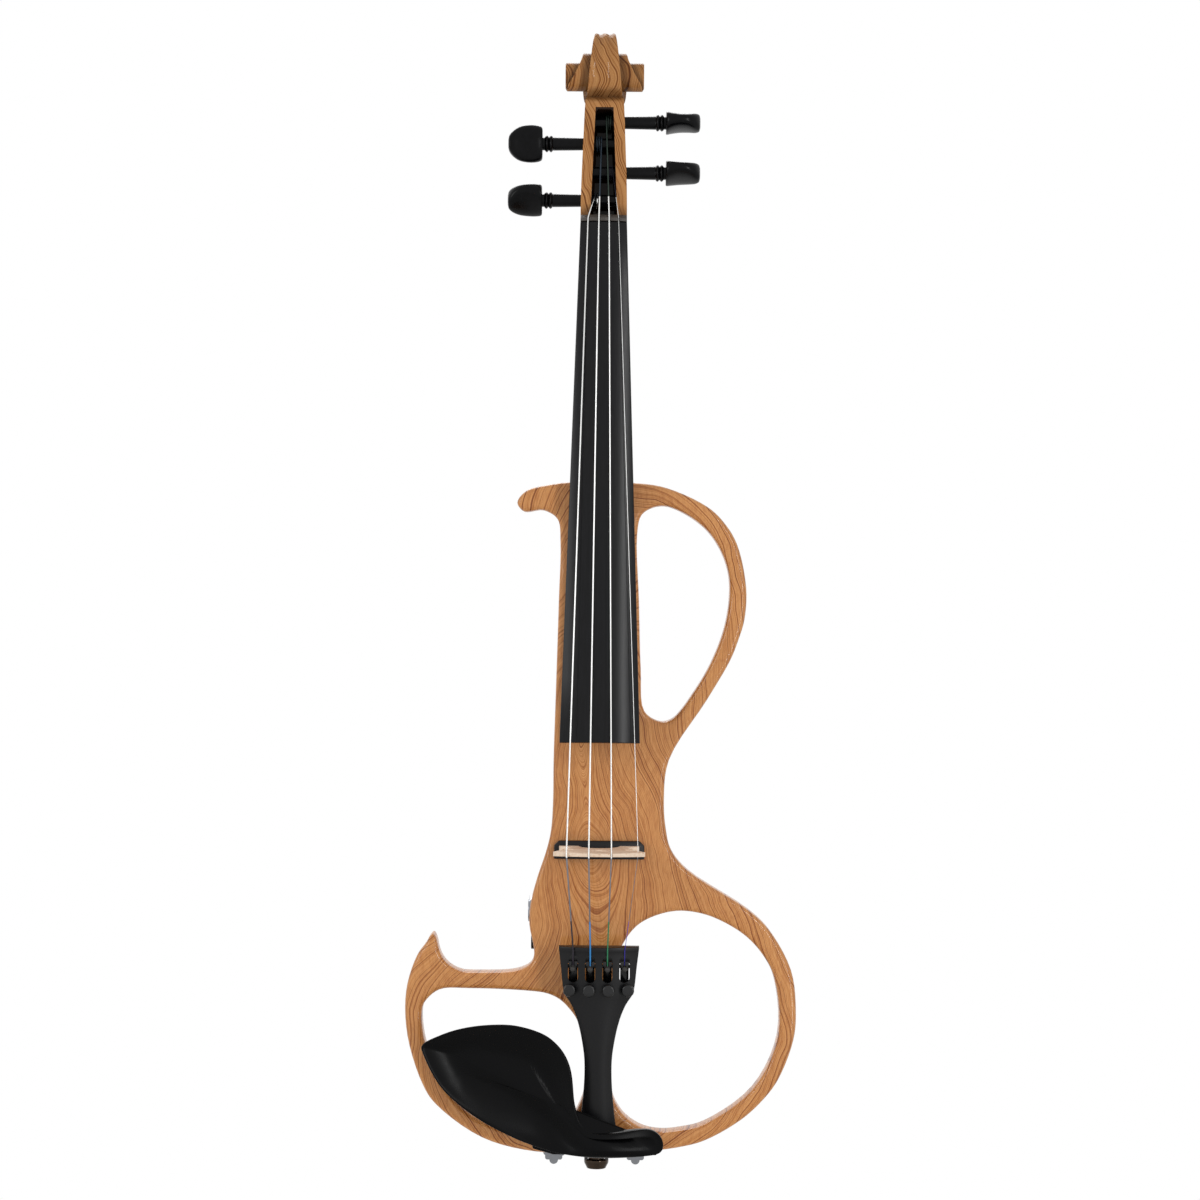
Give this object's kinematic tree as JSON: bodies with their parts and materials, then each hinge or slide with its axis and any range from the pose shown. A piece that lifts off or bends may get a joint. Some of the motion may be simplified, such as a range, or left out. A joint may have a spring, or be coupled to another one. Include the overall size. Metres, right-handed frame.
{
  "type": "electric violin",
  "caption": "Solid-centre electric violin with open bent-wood frame, carved scroll, ebonised fittings, chinrest and rear electronics.",
  "frame": {"origin": "centre of the end button's flat outer face, at the violin's lowest point", "axes": "+Z from the end button to the scroll, -Y out of the front (string side), +X to the right seen from the front"},
  "size_m": [0.2045, 0.0828, 0.5982],
  "materials": {
    "wood": "clear gloss lacquer over a printed wood grain",
    "ebony": "black stained hardwood, satin",
    "nut": "dark hardwood, satin",
    "maple": "bare fine-grained maple",
    "black_plastic": "satin black moulding",
    "black_metal": "black plated metal",
    "gut": "black nylon tailgut",
    "dark_chrome": "dark polished plating",
    "chrome": "polished plating",
    "steel": "wound steel wire",
    "brass": "turned brass",
    "cork": "natural cork",
    "board": "green circuit board",
    "battery_can": "printed metal can"
  },
  "bodies": {
    "frame": {"body": "wood", "neck": "wood", "fingerboard": "ebony", "nut": "nut", "bridge": "maple", "bridge_pickup": "black_plastic", "tailpiece": "black_plastic", "tuner_pivot_rod": "black_metal", "tailgut": "gut", "saddle": "ebony", "end_button": "dark_chrome", "chinrest": "ebony", "control_plate": "black_plastic", "circuit_board": "board", "output_jack": "chrome", "jack_nut": "chrome", "headphone_jack": "black_plastic", "battery_box": "black_plastic", "battery_9v": "battery_can", "battery_clip": "black_plastic", "tailgut_adjuster_left": "brass", "tailgut_adjuster_right": "brass", "string_g": "steel", "string_d": "steel", "string_a": "steel", "string_e": "steel", "chinrest_cork_left": "cork", "clamp_stud_left": "chrome", "chinrest_cork_right": "cork", "clamp_stud_right": "chrome", "plate_screw_1": "steel", "plate_screw_2": "steel", "plate_screw_3": "steel", "plate_screw_4": "steel"},
    "peg_g": {"peg_g": "ebony", "winding_g": "steel"},
    "tuner_screw_g": {"tuner_screw_g": "black_metal"},
    "tuner_lever_g": {"tuner_lever_g": "black_metal"},
    "peg_d": {"peg_d": "ebony", "winding_d": "steel"},
    "tuner_screw_d": {"tuner_screw_d": "black_metal"},
    "tuner_lever_d": {"tuner_lever_d": "black_metal"},
    "peg_a": {"peg_a": "ebony", "winding_a": "steel"},
    "tuner_screw_a": {"tuner_screw_a": "black_metal"},
    "tuner_lever_a": {"tuner_lever_a": "black_metal"},
    "peg_e": {"peg_e": "ebony", "winding_e": "steel"},
    "tuner_screw_e": {"tuner_screw_e": "black_metal"},
    "tuner_lever_e": {"tuner_lever_e": "black_metal"},
    "volume_knob": {"volume_knob": "black_plastic"},
    "tone_knob": {"tone_knob": "black_plastic"},
    "power_switch": {"power_switch": "black_plastic"},
    "battery_door": {"battery_door": "black_plastic"},
    "clamp_barrel_left": {"clamp_barrel_left": "chrome"},
    "clamp_foot_left": {"clamp_foot_left": "chrome", "clamp_cork_left": "cork"},
    "clamp_barrel_right": {"clamp_barrel_right": "chrome"},
    "clamp_foot_right": {"clamp_foot_right": "chrome", "clamp_cork_right": "cork"}
  },
  "joints": [
    {"name": "peg_g_turn", "type": "hinge", "parent": "frame", "child": "peg_g", "pos_m": [0, 0.00664, 0.50835], "axis": [1, 0, 0], "continuous": true, "deforming": ["string_g"]},
    {"name": "peg_d_turn", "type": "hinge", "parent": "frame", "child": "peg_d", "pos_m": [0, 0.00896, 0.53846], "axis": [1, 0, 0], "continuous": true, "deforming": ["string_d"]},
    {"name": "peg_a_turn", "type": "hinge", "parent": "frame", "child": "peg_a", "pos_m": [0, 0.00985, 0.55003], "axis": [1, 0, 0], "continuous": true, "deforming": ["string_a"]},
    {"name": "peg_e_turn", "type": "hinge", "parent": "frame", "child": "peg_e", "pos_m": [0, 0.00779, 0.52321], "axis": [1, 0, 0], "continuous": true, "deforming": ["string_e"]},
    {"name": "tuner_screw_g_turn", "type": "hinge", "parent": "frame", "child": "tuner_screw_g", "pos_m": [-0.0146, -0.03, 0.0968], "axis": [0, 1, 0], "range_deg": [0, 1440]},
    {"name": "tuner_screw_d_turn", "type": "hinge", "parent": "frame", "child": "tuner_screw_d", "pos_m": [-0.00453, -0.03, 0.0968], "axis": [0, 1, 0], "range_deg": [0, 1440]},
    {"name": "tuner_screw_a_turn", "type": "hinge", "parent": "frame", "child": "tuner_screw_a", "pos_m": [0.00553, -0.03, 0.0968], "axis": [0, 1, 0], "range_deg": [0, 1440]},
    {"name": "tuner_screw_e_turn", "type": "hinge", "parent": "frame", "child": "tuner_screw_e", "pos_m": [0.0156, -0.03, 0.0968], "axis": [0, 1, 0], "range_deg": [0, 1440]},
    {"name": "tuner_lever_g_swing", "type": "hinge", "parent": "frame", "child": "tuner_lever_g", "pos_m": [-0.0128, -0.02322, 0.1086], "axis": [1, 0, 0], "range_deg": [0, 12], "deforming": ["string_g"]},
    {"name": "tuner_lever_d_swing", "type": "hinge", "parent": "frame", "child": "tuner_lever_d", "pos_m": [-0.00393, -0.02322, 0.1086], "axis": [1, 0, 0], "range_deg": [0, 12], "deforming": ["string_d"]},
    {"name": "tuner_lever_a_swing", "type": "hinge", "parent": "frame", "child": "tuner_lever_a", "pos_m": [0.00493, -0.02322, 0.1086], "axis": [1, 0, 0], "range_deg": [0, 12], "deforming": ["string_a"]},
    {"name": "tuner_lever_e_swing", "type": "hinge", "parent": "frame", "child": "tuner_lever_e", "pos_m": [0.0138, -0.02322, 0.1086], "axis": [1, 0, 0], "range_deg": [0, 12], "deforming": ["string_e"]},
    {"name": "volume_turn", "type": "hinge", "parent": "frame", "child": "volume_knob", "pos_m": [0.002, 0.027, 0.1925], "axis": [0, 1, 0], "range_deg": [-150, 150]},
    {"name": "tone_turn", "type": "hinge", "parent": "frame", "child": "tone_knob", "pos_m": [0.002, 0.027, 0.17102], "axis": [0, 1, 0], "range_deg": [-150, 150]},
    {"name": "power_slide", "type": "slide", "parent": "frame", "child": "power_switch", "axis": [1, 0, 0], "range_m": [0, 0.004]},
    {"name": "battery_door_swing", "type": "hinge", "parent": "frame", "child": "battery_door", "pos_m": [0, 0.023, 0.2725], "axis": [1, 0, 0], "range_deg": [0, 110]},
    {"name": "clamp_barrel_left_turn", "type": "hinge", "parent": "frame", "child": "clamp_barrel_left", "pos_m": [-0.0222, 0, 0.0064], "axis": [0, 1, 0], "range_deg": [0, 1080]},
    {"name": "clamp_foot_left_slide", "type": "slide", "parent": "frame", "child": "clamp_foot_left", "axis": [0, 1, 0], "range_m": [0, 0.003]},
    {"name": "clamp_barrel_right_turn", "type": "hinge", "parent": "frame", "child": "clamp_barrel_right", "pos_m": [0.0203, 0, 0.0064], "axis": [0, 1, 0], "range_deg": [0, 1080]},
    {"name": "clamp_foot_right_slide", "type": "slide", "parent": "frame", "child": "clamp_foot_right", "axis": [0, 1, 0], "range_m": [0, 0.003]}
  ],
  "couplings": [
    {"joint": "tuner_lever_g_swing", "follows": "tuner_screw_g_turn", "ratio": 0.008333},
    {"joint": "tuner_lever_d_swing", "follows": "tuner_screw_d_turn", "ratio": 0.008333},
    {"joint": "tuner_lever_a_swing", "follows": "tuner_screw_a_turn", "ratio": 0.008333},
    {"joint": "tuner_lever_e_swing", "follows": "tuner_screw_e_turn", "ratio": 0.008333},
    {"joint": "clamp_barrel_left_turn", "follows": "clamp_foot_left_slide", "rad_per_m": 6283.2},
    {"joint": "clamp_barrel_right_turn", "follows": "clamp_foot_right_slide", "rad_per_m": 6283.2}
  ]
}
